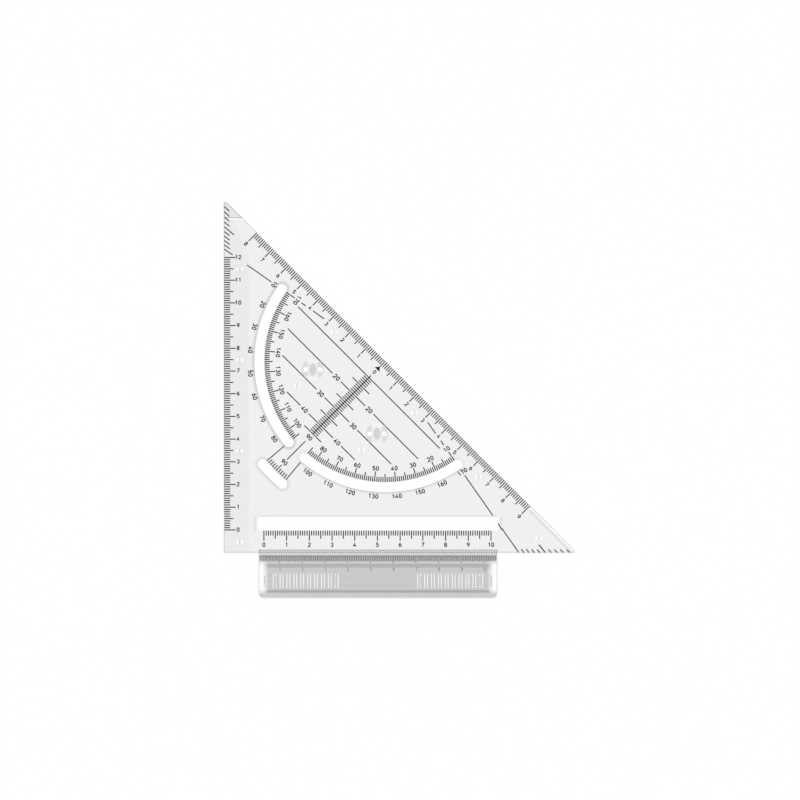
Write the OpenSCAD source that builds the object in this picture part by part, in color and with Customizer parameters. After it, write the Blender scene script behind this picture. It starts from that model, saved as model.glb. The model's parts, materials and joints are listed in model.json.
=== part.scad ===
// Drafting triangle: a clear 45 degree set square with protractor slots and a push-on rail guide.
// Millimetres. +X runs right along the bottom edge, +Y up the left leg, +Z away from the paper.
// Every module draws from the right-angle corner; at_origin() moves it to the middle of the box.

/* [Plate] */
// length of the long drawing edge, sharp tip to sharp tip
hyp_len = 220; // [212:1:232]
// thickness of the plate away from its edges
plate_t = 2; // [1.7:0.1:3]
// thickness left at the thinned scale edges
edge_t = 1; // [0.8:0.1:1.4]
// width of the sloping facet along the left leg
leg_facet_w = 11; // [9:0.5:12]
// width of the sloping facet along the long edge
hyp_facet_w = 9.4; // [8:0.2:11]
// bevel under the scale edges that keeps ink off the paper
ink_bevel = 0.15; // [0.1:0.05:0.3]
// length cut off each sharp tip
tip_cut = 1; // [0.5:0.1:1.5]
// length of the flat, thin end at the upper tip
tip_flat = 6.8; // [4:0.2:8]
// run of the slope that leads down to that thin end
tip_slope = 1; // [0.4:0.1:1.6]

/* [Slots] */
// middle of the straight slot and of the guide, from the left edge
slot_x = 67.85; // [67:0.05:70]
// length of the straight slot
slot_len = 105.5; // [105:0.5:108]
// width of the straight slot
slot_w = 6.2; // [5:0.1:6.6]
// height of the straight slot above the bottom edge
slot_y = 9.9; // [9.5:0.1:11]
// run of the sloping ends of the straight slot
slot_bevel = 1.8; // [1:0.1:2.4]
// width of the facet between the straight slot and the guide
slot_facet_w = 6.6; // [5:0.2:7]
// chamfer along the upper side of the straight slot
slot_chamfer = 0.4; // [0.2:0.1:0.8]
// distance of the protractor's zero from the middle of the long edge
zero_shift = 9.45; // [7:0.05:11]
// radius of the inner side of the two long arc slots
arc_r = 53.3; // [52:0.1:54.5]
// width of the arc slots
arc_w = 4.4; // [4:0.1:4.8]
// difference between the width of the arc slots and of their round ends
arc_end_play = 0.04; // [0.02:0.01:0.1]
// radius of the inner side of the short arc slot
short_arc_r = 68.3; // [66:0.1:69]
// flare of the arc slots' outer side where it meets the top
arc_flare = 0.5; // [0.2:0.1:0.8]

/* [Nubs and domes] */
// height of the ink nubs under the plate
nub_h = 0.6; // [0.4:0.1:1]
// diameter of the ink nubs where they leave the plate
nub_d = 3.6; // [3:0.1:4]
// distance of the nubs from a scale edge
nub_in = 7; // [6.9:0.1:7.4]
// spacing of the nubs along the left leg
nub_pitch = 40; // [36:1:41]
// height of the lowest nub above the bottom edge
nub_y = 5; // [4:0.5:6]
// diameter of the two finger domes
dome_d = 9.8; // [9:0.1:10]
// height of the two finger domes
dome_h = 1.3; // [1:0.1:2]
// distance between the two finger domes
dome_pitch = 40; // [34:1:46]
// distance of the finger domes from the long edge
dome_in = 25.2; // [24.8:0.1:25.6]
// distance of the inner nubs from the long edge
inner_nub_in = 35; // [33:0.5:37]
// distance of the last nub from the sharp right tip
foot_nub_in = 16.8; // [15:0.1:18]
// height of the last nub above the bottom edge
foot_nub_y = 6.4; // [6:0.1:7]

/* [Rail guide] */
// length of the guide along the bottom edge
guide_len = 105; // [100:0.5:106]
// distance the guide stands out below the bottom edge
guide_reach = 19.8; // [18.5:0.1:24]
// depth of the groove that takes the plate's edge
guide_lap = 1.6; // [1.2:0.1:2.4]
// thickness of the lip over the plate
lip_t = 1.8; // [1.4:0.1:2.2]
// chamfer along the lip's edge
lip_chamfer = 0.5; // [0.2:0.1:0.7]
// distance of the step behind the lip from the bottom edge
lip_back = 1; // [0.4:0.1:1.1]
// depth of the step under the plate that the lower jaw fills
jaw_step = 0.5; // [0.3:0.1:0.7]
// free space round the plate's edge in the groove
fit_gap = 0.05; // [0.02:0.01:0.15]
// height of the lower jaw's underside above the paper
jaw_z = 0.15; // [0.05:0.05:0.3]
// thickness of the wall that stands on the bottom edge
web_t = 1.5; // [1.2:0.1:1.8]
// height of the guide's underside above the paper, which clears the rail
rail_h = 3.6; // [3.2:0.1:6]
// thickness of the guide's flange
flange_t = 2; // [1.4:0.1:3]
// radius of the guide's two outer corners
corner_r = 2.6; // [1:0.1:3]
// chamfer along the guide's outer edge
nose = 0.5; // [0.2:0.1:0.9]
// height of the finger ridge above the flange
ridge_h = 1; // [0.6:0.1:2]
// distance of the finger ridge from the bottom edge
ridge_y = 5.1; // [4.8:0.1:5.6]
// width of the finger ridge at its foot
ridge_w = 12.2; // [11:0.1:12.6]
// distance of the ridge and the tongue from the guide's ends
ridge_in = 2.4; // [1.5:0.1:4]
// run of the ridge's slope towards the plate
ridge_front = 1.7; // [1:0.1:2]
// run of the ridge's slope towards the outer edge
ridge_back = 1.2; // [0.8:0.1:1.4]
// run of the slopes at the ridge's ends
ridge_ends = 1.5; // [1:0.1:2]
// length of the finger ribs
rib_len = 6.3; // [5:0.1:6.6]
// width of a finger rib at its foot
rib_w = 1.7; // [1.2:0.1:2]
// height of a finger rib
rib_h = 0.5; // [0.3:0.1:0.9]
// run of the slope on each side of a finger rib
rib_slope = 0.45; // [0.2:0.05:0.55]
// distance of the ribs from the ridge's outer foot
rib_back = 2; // [1.5:0.1:2.4]
// distance of the outermost ribs from the ridge's ends
rib_end = 4.73; // [3:0.01:6]
// number of finger ribs in each of the two groups
rib_count = 10; // [6:1:10]
// distance of the innermost ribs from the middle of the guide
rib_first = 18.1; // [14:0.1:18.4]
// width of the tongue that runs in the rail, under the ribs
tongue_w = 4.2; // [3:0.1:5]
// height of that tongue
tongue_h = 2.4; // [1.2:0.1:2.6]
// run of the sloping ends that lead the tongue in
lead_in = 1.2; // [0.6:0.1:1.2]

/* [Printing] */
// width of a printed line
ink_w = 0.46; // [0.3:0.01:0.5]
// thickness of the printed layer
ink_t = 0.05; // [0.03:0.01:0.08]
// distance of the lines on the two drawing edges from the bevel
ink_margin = 0.05; // [0.05:0.05:0.3]
// distance of the lines on the slots from the slots
slot_margin = 0.1; // [0.05:0.05:0.3]
// length of the millimetre lines on the two drawing edges
edge_short = 2.6; // [2.2:0.1:2.8]
// length of the 5 mm lines on the two drawing edges
edge_mid = 4; // [3.4:0.1:4.2]
// length of the centimetre lines on the two drawing edges
edge_long = 5; // [4.4:0.1:5]
// length of the shortest lines on the slots
slot_short = 2.2; // [1.8:0.1:2.4]
// length of the lines at every fifth step on the slots
slot_mid = 3.6; // [3:0.1:3.8]
// length of the lines at every tenth step on the slots
slot_long = 4.5; // [4:0.1:4.8]
// height of the left leg's zero above the bottom edge
leg_zero = 10.15; // [9:0.05:11]
// centimetres on the left leg
leg_cm = 12; // [10:1:12]
// centimetres on the straight slot
slot_cm = 10; // [8:1:10]
// distance of the slot's scale from the middle of the slot, to the left
slot_scale_shift = 0.25; // [0:0.05:1]
// centimetres on the long edge, up from zero
hyp_up_cm = 8; // [6:1:8]
// centimetres on the long edge, down from zero
hyp_down_cm = 9; // [7:1:9]
// width of the arrowhead at zero
arrow_w = 3; // [2:0.1:4]
// height of the arrowhead at zero
arrow_h = 1.7; // [1:0.1:2]
// room for the degree numerals inside the long arc slots
numeral_room = 8.05; // [7.6:0.05:8.5]
// spacing of the lines parallel to the long edge
line_pitch = 10; // [9.8:0.1:10.2]
// distance of the protractor print's zero inside the long edge
print_in = 0.22; // [0:0.01:0.4]
// distance of the line numerals from the protractor's axis
line_numeral = 10.15; // [9.5:0.05:11]
// half the room left in a line for its numeral
line_break = 2.5; // [2:0.1:3]
// distance of the axis line's start from the long edge
axis_from = 8.7; // [8:0.1:9.5]
// half the length of the millimetre lines across the axis
axis_short = 2.3; // [1.8:0.1:2.6]
// half the length of the 5 mm lines across the axis
axis_mid = 5.25; // [4.5:0.05:6]
// length of the 90 degree line inside the arc slots
right_in = 3.7; // [3:0.1:4.5]
// length of the 90 degree line outside the arc slots' inner side
right_out = 7.7; // [7:0.1:8.5]
// length of the degree lines at the upper tip
tip_short = 2.9; // [2.4:0.1:3.2]
// length of the 5 degree line at the upper tip
tip_mid = 5.6; // [5:0.1:6]
// length of the 10 degree line at the left leg
tip_long = 4.4; // [4:0.1:5]
// length of the degree lines at the right tip
foot_short = 2; // [1.6:0.1:2.4]
// length of the 5 degree line at the right tip
foot_mid = 4.6; // [4:0.1:5]
// distance of the 10 degree lines' start from the arc slots, towards zero
ten_start = 20.6; // [19:0.1:22]
// distance of their break's start from the arc slots, towards zero
ten_break = 14.5; // [14:0.1:15]
// distance of their break's end from the arc slots, towards zero
ten_again = 10.7; // [10:0.1:11.5]
// distance of their outer part's start from the arc slots' inner side
ten_out = 7.8; // [7:0.1:8.5]
// length of the outer part towards the upper tip
ten_len = 13; // [11:0.5:14]
// shift of the guide scale's zero past the guide's left end
guide_zero = 0.9; // [0:0.1:1.2]
// length of the millimetre lines on the guide
guide_short = 1.9; // [1.6:0.1:2.4]
// length of the centimetre lines on the guide
guide_long = 2.7; // [2.4:0.1:3]

/* [Hidden] */
$fn = 96;
big = 400;
cm = 10;
half_turn = 180;
// heading of the long edge's upper half
edge_heading = 135;
// how far a cutter runs past a face, and how deep a body grows into one
past = 1;
root = 0.2;
leg = hyp_len / sqrt(2);
top_z = nub_h + plate_t;
drop = plate_t - edge_t;
zero = [leg / 2 - zero_shift / sqrt(2), leg / 2 + zero_shift / sqrt(2)];
print_zero = [zero[0] - print_in / sqrt(2), zero[1] - print_in / sqrt(2)];
slot_x0 = slot_x - slot_len / 2;
slot_x1 = slot_x + slot_len / 2;
guide_x0 = slot_x - guide_len / 2;
guide_x1 = slot_x + guide_len / 2;
tongue_z = nub_h + jaw_step;
lip_z = top_z + fit_gap + lip_t;
flange_z = rail_h + flange_t;
ridge_z = flange_z + ridge_h;
rib_y = ridge_y + ridge_w - rib_len - rib_back;
rib_pitch = (guide_len / 2 - ridge_in - rib_end - rib_first) / (rib_count - 1);
lines_r = arc_r - numeral_room;
ink_from = ink_bevel + ink_margin;
// the long arc slots run over these angles from the long edge, on each side of the axis
arc_first = 10;
arc_last = 85;
// places of the nubs along the long edge, from zero
edge_nubs = [-25, 25, 65];

// from the right-angle corner to the middle of the bounding box
module at_origin() {
    translate([-(leg - tip_cut) / 2, -(leg - tip_cut - guide_reach) / 2, 0]) children();
}

// the protractor's frame: zero on the long edge, x along that edge, y out of the plate
module at_zero() {
    translate([zero[0], zero[1], 0]) rotate([0, 0, -45]) children();
}

// along the ray at an angle from the upper half of the long edge
module at_ray(angle, r) {
    at_zero() rotate([0, 0, half_turn + angle]) translate([r, 0, 0]) children();
}

// the same frame and rays for the print, whose zero lies a little inside the edge
module at_print() {
    at_zero() translate([0, -print_in, 0]) children();
}

module at_print_ray(angle, r) {
    at_print() rotate([0, 0, half_turn + angle]) translate([r, 0, 0]) children();
}

// radius r of an arc slot's side, measured from the print's zero along a ray
function from_print(r, angle) = r - print_in * sin(angle);

// a profile of [y, z] points drawn out along x from x0 to x1
module along_x(x0, x1, points) {
    translate([x0, 0, 0]) rotate([90, 0, 90]) linear_extrude(x1 - x0) polygon(points);
}

// a profile of [x, z] points drawn out along y from y0 to y1
module along_y(y0, y1, points) {
    translate([0, y1, 0]) rotate([90, 0, 0]) linear_extrude(y1 - y0) polygon(points);
}

// facet over an edge at 0, with the plate on the positive side
function facet(w) = [[-past, top_z - drop - past * drop / w], [w, top_z], [w, top_z + past],
                     [-past, top_z + past]];

// bevel under an edge at 0
function bevel() = [[-past, nub_h + ink_bevel + past], [ink_bevel + past, nub_h - past],
                    [-past, nub_h - past]];

// the same profile with the plate on the negative side
function turned(points) = [for (p = points) [-p[0], p[1]]];

module outline() {
    far = leg - tip_cut;
    polygon([[0, 0], [far, 0], [far, tip_cut], [tip_cut, far], [0, far]]);
}

module straight_slot_cut() {
    foot = top_z - drop;
    spread = slot_bevel + past * slot_bevel / drop;
    edge = slot_y + slot_w;
    translate([slot_x0, slot_y, -past]) cube([slot_len, slot_w, top_z + 2 * past]);
    along_y(slot_y, edge, [[slot_x0 - spread, top_z + past], [slot_x0, foot], [slot_x1, foot],
                           [slot_x1 + spread, top_z + past]]);
    along_x(slot_x0 - slot_bevel, slot_x1 + slot_bevel,
            [[slot_y - slot_facet_w, top_z], [slot_y - slot_facet_w, top_z + past],
             [slot_y, top_z + past], [slot_y, foot]]);
    along_x(slot_x0, slot_x1,
            [[edge + slot_chamfer + past, top_z + past], [edge, top_z - slot_chamfer],
             [edge - past, top_z - slot_chamfer], [edge - past, top_z + past]]);
}

module arc_slot_cut(r, first, last) {
    at_zero() rotate([0, 0, half_turn + first]) rotate_extrude(angle = last - first)
        polygon([[r, -past], [r + arc_w, -past], [r + arc_w, top_z - arc_flare],
                 [r + arc_w + arc_flare + past, top_z + past], [r, top_z + past]]);
    for (a = [first, last])
        at_ray(a, r + arc_w / 2) translate([0, 0, -past])
            cylinder(d = arc_w - arc_end_play, h = top_z + 2 * past);
}

// the cap of a ball, d across and h high, standing up from z = 0 with a root below it
module cap(d, h) {
    ball = (d * d / 4 + h * h) / (2 * h);
    intersection() {
        translate([0, 0, h - ball]) sphere(ball);
        translate([-d, -d, -root]) cube([2 * d, 2 * d, h + root + past]);
    }
}

module nub() {
    translate([0, 0, nub_h]) mirror([0, 0, 1]) cap(nub_d, nub_h);
}

module nubs() {
    for (i = [0:3])
        translate([nub_in, nub_y + i * nub_pitch, 0]) nub();
    at_zero() for (s = edge_nubs)
        translate([s, -nub_in, 0]) nub();
    at_zero() for (s = [-dome_pitch / 2, dome_pitch / 2])
        translate([s, -inner_nub_in, 0]) nub();
    translate([leg - foot_nub_in, foot_nub_y, 0]) nub();
}

module domes() {
    at_zero() for (s = [-dome_pitch / 2, dome_pitch / 2])
        translate([s, -dome_in, top_z]) cap(dome_d, dome_h);
}

// the plate before its slots: outline, sloping facets, ink bevels and the thin upper tip
module faceted_plate() {
    foot = top_z - drop;
    tip_y = leg - tip_cut - tip_flat;
    difference() {
        translate([0, 0, nub_h]) linear_extrude(plate_t) outline();
        along_y(-past, leg + past, facet(leg_facet_w));
        at_zero() along_x(-big, big, turned(facet(hyp_facet_w)));
        along_y(-past, leg + past, bevel());
        at_zero() along_x(-big, big, turned(bevel()));
        along_x(-past, 3 * tip_flat,
                [[leg + past, foot], [leg + past, top_z + past],
                 [tip_y - tip_slope - past * tip_slope / drop, top_z + past], [tip_y, foot]]);
    }
}

module triangle_plate() {
    color([0.93, 0.95, 0.96]) union() {
        difference() {
            faceted_plate();
            straight_slot_cut();
            arc_slot_cut(arc_r, arc_first, arc_last);
            arc_slot_cut(arc_r, half_turn - arc_last, half_turn - arc_first);
            arc_slot_cut(short_arc_r, arc_last, half_turn - arc_last);
            translate([guide_x0 - fit_gap, -past, nub_h - past])
                cube([guide_len + 2 * fit_gap, past + guide_lap + fit_gap, past + jaw_step]);
        }
        nubs();
        domes();
    }
}

// a printed line on a face at height z, from x0 to x1 along x
module ink(x0, x1, z = nub_h) {
    translate([x0, -ink_w / 2, z - ink_t]) cube([x1 - x0, ink_w, ink_t]);
}

function step_len(i, short, mid, long) = i % 10 == 0 ? long : i % 5 == 0 ? mid : short;

module leg_scale() {
    color([0.05, 0.05, 0.05]) for (i = [0:leg_cm * cm])
        translate([ink_from, leg_zero + i, 0]) ink(0, step_len(i, edge_short, edge_mid, edge_long));
}

module slot_scale() {
    x0 = slot_x - slot_cm * cm / 2 - slot_scale_shift;
    color([0.05, 0.05, 0.05]) for (i = [0:slot_cm * cm])
        translate([x0 + i, slot_y - slot_margin, 0]) rotate([0, 0, -90])
            ink(0, step_len(i, slot_short, slot_mid, slot_long));
}

module hypotenuse_scale() {
    color([0.05, 0.05, 0.05]) at_zero() {
        for (i = [-hyp_up_cm * cm:hyp_down_cm * cm])
            translate([i, -ink_from, 0]) rotate([0, 0, -90])
                ink(0, step_len(abs(i), edge_short, edge_mid, edge_long));
        translate([0, -ink_from - edge_long, nub_h - ink_t]) linear_extrude(ink_t)
            polygon([[-arrow_w / 2, 0], [arrow_w / 2, 0], [0, arrow_h]]);
    }
}

// a broken line parallel to the long edge at a distance n, with room for two numerals
module parallel_line(n, broken) {
    half = sqrt(lines_r * lines_r - n * n);
    inner = line_numeral - line_break;
    outer = line_numeral + line_break;
    translate([0, -n, 0]) {
        if (broken) {
            ink(-half, -outer);
            ink(-inner, inner);
            ink(outer, half);
        }
        else {
            ink(-half, half);
        }
    }
}

module square_lines() {
    color([0.05, 0.05, 0.05]) at_print() {
        for (k = [1:4])
            parallel_line(k * line_pitch, k > 1);
        translate([0, -axis_from, 0]) rotate([0, 0, -90]) ink(0, lines_r - axis_from);
        for (n = [cm + 1:floor(lines_r)])
            if (n % cm != 0) {
                half = n % 5 == 0 ? axis_mid : axis_short;
                translate([0, -n * line_pitch / cm, 0]) ink(-half, half);
            }
    }
}

module arc_scale() {
    color([0.05, 0.05, 0.05]) for (a = [arc_first:arc_last])
        for (side = [a, half_turn - a])
            at_print_ray(side, from_print(arc_r, side) - slot_margin) mirror([1, 0, 0])
                ink(0, step_len(a, slot_short, slot_mid, slot_long));
}

module right_angle_scale() {
    color([0.05, 0.05, 0.05]) {
        for (a = [arc_last + 1:half_turn - arc_last - 1])
            at_print_ray(a, from_print(short_arc_r, a) - slot_margin) mirror([1, 0, 0])
                ink(0, a == 90 ? slot_mid : slot_short);
        for (a = [arc_last, half_turn - arc_last])
            at_print_ray(a, 0) ink(from_print(arc_r + arc_w + arc_flare, a) + slot_margin,
                                   from_print(short_arc_r, a) - slot_margin);
        at_print_ray(90, 0) ink(arc_r - right_in, arc_r + right_out);
    }
}

// degree lines that point at zero from the two legs, and the 10 degree lines
module tip_scale() {
    start = ink_bevel + slot_margin;
    gap = 3 * slot_margin;
    ray = edge_heading + half_turn - arc_first;
    r_up = (print_zero[1] - slot_y - slot_w - slot_chamfer) / -sin(ray) - gap;
    r_end = (slot_x1 - print_zero[0]) / cos(ray) + gap;
    r_low = (print_zero[1] - slot_y) / -sin(ray) + gap;
    r_edge = (print_zero[1] - start) / -sin(ray);
    color([0.05, 0.05, 0.05]) {
        for (a = [1:arc_first]) {
            reach = a == 5 ? tip_mid : a == arc_first ? tip_long : tip_short;
            r = (print_zero[0] - start) / -cos(edge_heading + a);
            at_print_ray(a, 0) ink(r - reach, r);
        }
        for (a = [1:arc_first - 1]) {
            reach = a == 5 ? foot_mid : foot_short;
            r = (print_zero[1] - slot_margin) / -sin(edge_heading + half_turn - a);
            at_print_ray(half_turn - a, 0) ink(r - reach, r);
        }
        for (a = [arc_first, half_turn - arc_first]) {
            at_print_ray(a, 0) ink(arc_r - ten_again, lines_r - root);
            at_print_ray(a, 0) ink(arc_r - ten_start, arc_r - ten_break);
        }
        at_print_ray(arc_first, 0) ink(arc_r + ten_out, arc_r + ten_out + ten_len);
        at_print_ray(half_turn - arc_first, 0) ink(arc_r + ten_out, r_up);
        at_print_ray(half_turn - arc_first, 0) ink(min(r_end, r_low), r_edge);
    }
}

// section of the guide as [y, z]: lip, sloping step, flange, web and lower jaw round the groove
function guide_section() = [
    [guide_lap, top_z + fit_gap], [guide_lap, lip_z - lip_chamfer], [guide_lap - lip_chamfer, lip_z],
    [-lip_back, lip_z], [-web_t, flange_z], [nose - guide_reach, flange_z], [-guide_reach, flange_z - nose],
    [-guide_reach, rail_h], [-web_t, rail_h], [-web_t, jaw_z], [guide_lap, jaw_z],
    [guide_lap, tongue_z - fit_gap], [0, tongue_z - fit_gap], [0, top_z + fit_gap]];

module guide_corner_cut(x, side) {
    translate([x, -guide_reach, 0]) difference() {
        translate([side > 0 ? -past : -corner_r, -past, rail_h - past])
            cube([corner_r + past, corner_r + past, flange_t + 2 * past]);
        translate([side * corner_r, corner_r, rail_h - 2 * past])
            cylinder(r = corner_r, h = flange_t + 4 * past);
    }
}

module ridge() {
    x0 = guide_x0 + ridge_in;
    x1 = guide_x1 - ridge_in;
    foot = flange_z - root;
    back = -ridge_y - ridge_w;
    over = ridge_z + 1e-3;
    intersection() {
        along_x(x0, x1, [[-ridge_y, foot], [-ridge_y, flange_z], [-ridge_y - ridge_front, ridge_z],
                         [back + ridge_back, ridge_z], [back, flange_z], [back, foot]]);
        along_y(back - past, -ridge_y + past,
                [[x0, foot], [x0, flange_z], [x0 + ridge_ends, over],
                 [x1 - ridge_ends, over], [x1, flange_z], [x1, foot]]);
    }
}

module ribs() {
    foot = rib_w / 2;
    top = foot - rib_slope;
    for (i = [0:rib_count - 1])
        for (side = [-1, 1])
            translate([slot_x + side * (rib_first + i * rib_pitch), 0, ridge_z])
                along_y(-rib_y - rib_len, -rib_y, [[-foot, -root], [-foot, 0], [-top, rib_h],
                                                   [top, rib_h], [foot, 0], [foot, -root]]);
}

// the tongue runs in the rail's groove; its ends slope to lead it in
module tongue() {
    x0 = guide_x0 + ridge_in;
    x1 = guide_x1 - ridge_in;
    low = rail_h - tongue_h;
    middle = -rib_y - rib_len / 2;
    along_y(middle - tongue_w / 2, middle + tongue_w / 2,
            [[x0, rail_h + root], [x0, low + lead_in], [x0 + lead_in, low],
             [x1 - lead_in, low], [x1, low + lead_in], [x1, rail_h + root]]);
}

module rail_guide() {
    color([0.8, 0.82, 0.83]) union() {
        difference() {
            along_x(guide_x0, guide_x1, guide_section());
            guide_corner_cut(guide_x0, 1);
            guide_corner_cut(guide_x1, -1);
        }
        ridge();
        ribs();
        tongue();
    }
}

module guide_scale() {
    color([0.05, 0.05, 0.05]) for (i = [2:guide_len])
        translate([guide_x0 - guide_zero + i, -web_t - slot_margin, 0]) rotate([0, 0, -90])
            ink(0, i % cm == 0 ? guide_long : guide_short, rail_h);
}

at_origin() {
    triangle_plate();
    leg_scale();
    slot_scale();
    hypotenuse_scale();
    square_lines();
    arc_scale();
    right_angle_scale();
    tip_scale();
    rail_guide();
    guide_scale();
}
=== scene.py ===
"""Looks of the drafting triangle: clear mouldings, black print with its numerals, floor, light and camera."""

import json
import math

import bpy
import numpy as np
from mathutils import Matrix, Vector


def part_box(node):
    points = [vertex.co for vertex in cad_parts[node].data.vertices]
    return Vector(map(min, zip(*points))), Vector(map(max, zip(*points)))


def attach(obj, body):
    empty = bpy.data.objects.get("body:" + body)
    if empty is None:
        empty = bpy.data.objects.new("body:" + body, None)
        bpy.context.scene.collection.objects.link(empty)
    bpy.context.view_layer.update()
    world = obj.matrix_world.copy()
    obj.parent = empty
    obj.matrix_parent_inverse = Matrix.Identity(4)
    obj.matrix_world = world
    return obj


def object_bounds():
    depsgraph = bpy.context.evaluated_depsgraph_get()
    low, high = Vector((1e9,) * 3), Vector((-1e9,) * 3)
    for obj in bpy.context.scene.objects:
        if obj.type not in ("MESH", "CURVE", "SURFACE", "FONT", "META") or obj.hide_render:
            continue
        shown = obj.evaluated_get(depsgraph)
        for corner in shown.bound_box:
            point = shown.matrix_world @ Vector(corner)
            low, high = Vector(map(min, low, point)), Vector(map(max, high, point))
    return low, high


bl_info = {
    "name": "Drafting Triangle",
    "version": (1, 0, 0),
    "blender": (4, 5, 0),
    "location": "View3D > Sidebar > Triangle",
    "description": "Clear plastic, printed numerals and a studio for the drafting triangle",
    "category": "Object",
}

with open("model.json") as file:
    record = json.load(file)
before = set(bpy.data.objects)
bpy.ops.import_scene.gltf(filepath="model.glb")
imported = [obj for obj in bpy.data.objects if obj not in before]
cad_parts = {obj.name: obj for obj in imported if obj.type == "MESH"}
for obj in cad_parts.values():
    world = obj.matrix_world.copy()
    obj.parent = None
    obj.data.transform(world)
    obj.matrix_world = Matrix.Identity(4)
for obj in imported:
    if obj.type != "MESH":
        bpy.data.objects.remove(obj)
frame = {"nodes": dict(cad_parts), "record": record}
CAD_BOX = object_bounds()
MM = 0.001
CM = 10 * MM
PRINTED_NODES = [s["node"] for s in frame["record"]["subparts"] if s["material_slot"] == "print"]
CORNER = np.array(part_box("triangle_plate")[0])[:2]
PRINT_HEIGHTS = {"plate": [corner.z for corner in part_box("leg_scale")],
                 "guide": [corner.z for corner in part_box("guide_scale")]}

# Heading of the long edge's upper half in degrees, and the turn of the print along that edge.
LONG_EDGE = 135
SLANT = -math.pi / 4

# Numbers on the scales: centimetres, millimetres on the parallel lines, and degrees.
LEG_NUMBERS, SLOT_NUMBERS = range(13), range(11)
LONG_EDGE_NUMBERS, GUIDE_NUMBERS = range(-8, 10), range(1, 11)
LINE_NUMBERS = (20, 30, 40)
DEGREES = [*range(10, 90, 10), *range(100, 180, 10)]
RIGHT_ANGLE, HALF_TURN = 90, 180

# A length too small to see, the least distance between two caps, and a length beyond every face, in metres.
HAIR = 0.01 * MM
CAP_GAP = 2 * MM
FAR = 1
EVERYWHERE = (-FAR, FAR)

# Steepness of a zone's margin, one over its width in metres, from the hardest to the softest.
HARD, SHARP, CRISP, MILD, FADED, BLURRED, SOFT = 1e6, 1e5, 1e4, 4e3, 2e3, 1600.0, 400.0

CLEAR = (1, 1, 1, 1)

# Slopes over which a face takes the painted light and shade of a facet or of a steep face.
FACET_LEAN, STEEP_SLOPE = (-0.03, -0.07), (0.15, 0.6)

# Slopes of a cap's surface at its painted highlights, its painted dark middle and its painted shaded sides.
DOME_SLOPES = {"Spot_Place": 0.325, "Spot_Width": 0.08, "Spot_Height": 0.09, "Middle_Width": 0.172,
               "Middle_Height": 0.288}
NUB_SLOPES = {"Spot_Place": 0.36, "Spot_Width": 0.2, "Spot_Height": 0.3, "Middle_Width": 0.08,
              "Middle_Height": 0.35}
LOBE_START, LOBE_END = (0.19, 0.25), (0.28, 0.42)

# Reach over which a cap's painted light and shade fade, and the painted spots through the sheet: 1 is the
# rim.
CAP_FADE, SPOT_FADE = (0.7, 1.2), (1.0, 1.5)

# Part of the smeared noise over which polish turns to haze, and the roughness of thick and of thin ink.
SMEAR_PART, INK_MATT = (0.45, 0.75), (0.45, 0.7)

# Arc slots: middle and half length in degrees, place of the radius in slot_size, and strength of the shade.
ARC_SLOTS = ((47.5, 37.5, 0, 1.0), (132.5, 37.5, 0, 0.35), (90, 5, 1, 0.6))

# Heights and brightness of the room light from the horizon up, and the floor's gap under the part.
ROOM_LEVELS = ((0.0, 0.25), (0.3, 0.6), (0.75, 0.75), (0.965, 0.75), (0.985, 0.95))
FLOOR_GAP = 0.02 * MM

# Distance of the columns and rows in which nodes are laid out.
COLUMN, ROW = 220, 180


def tone(name, description, *levels):
    """A colour setting: red, green and blue, or one level of grey."""
    red, green, blue = levels if len(levels) == 3 else levels * 3
    return bpy.props.FloatVectorProperty(name=name, description=description, subtype="COLOR", size=4, min=0,
                                         max=1, default=(red, green, blue, 1))


def number(name, description, default, least=0, most=1, **more):
    """A setting of one number, from the least to the most."""
    return bpy.props.FloatProperty(name=name, description=description, default=default, min=least, max=most,
                                   **more)


def length(name, description, default, least, most, **more):
    """A setting of one length in metres, from the least to the most."""
    return number(name, description, default, least, most, unit="LENGTH", **more)


def measures(name, description, *lengths, subtype="NONE"):
    """A setting of several lengths in metres."""
    return bpy.props.FloatVectorProperty(name=name, description=description, subtype=subtype, unit="LENGTH",
                                         size=len(lengths), default=lengths)


def place(name, description, x, y):
    """A setting of a place on the sheet, in metres from the right-angle corner."""
    return measures(name, description + ", from the right-angle corner", x, y, subtype="TRANSLATION")


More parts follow.
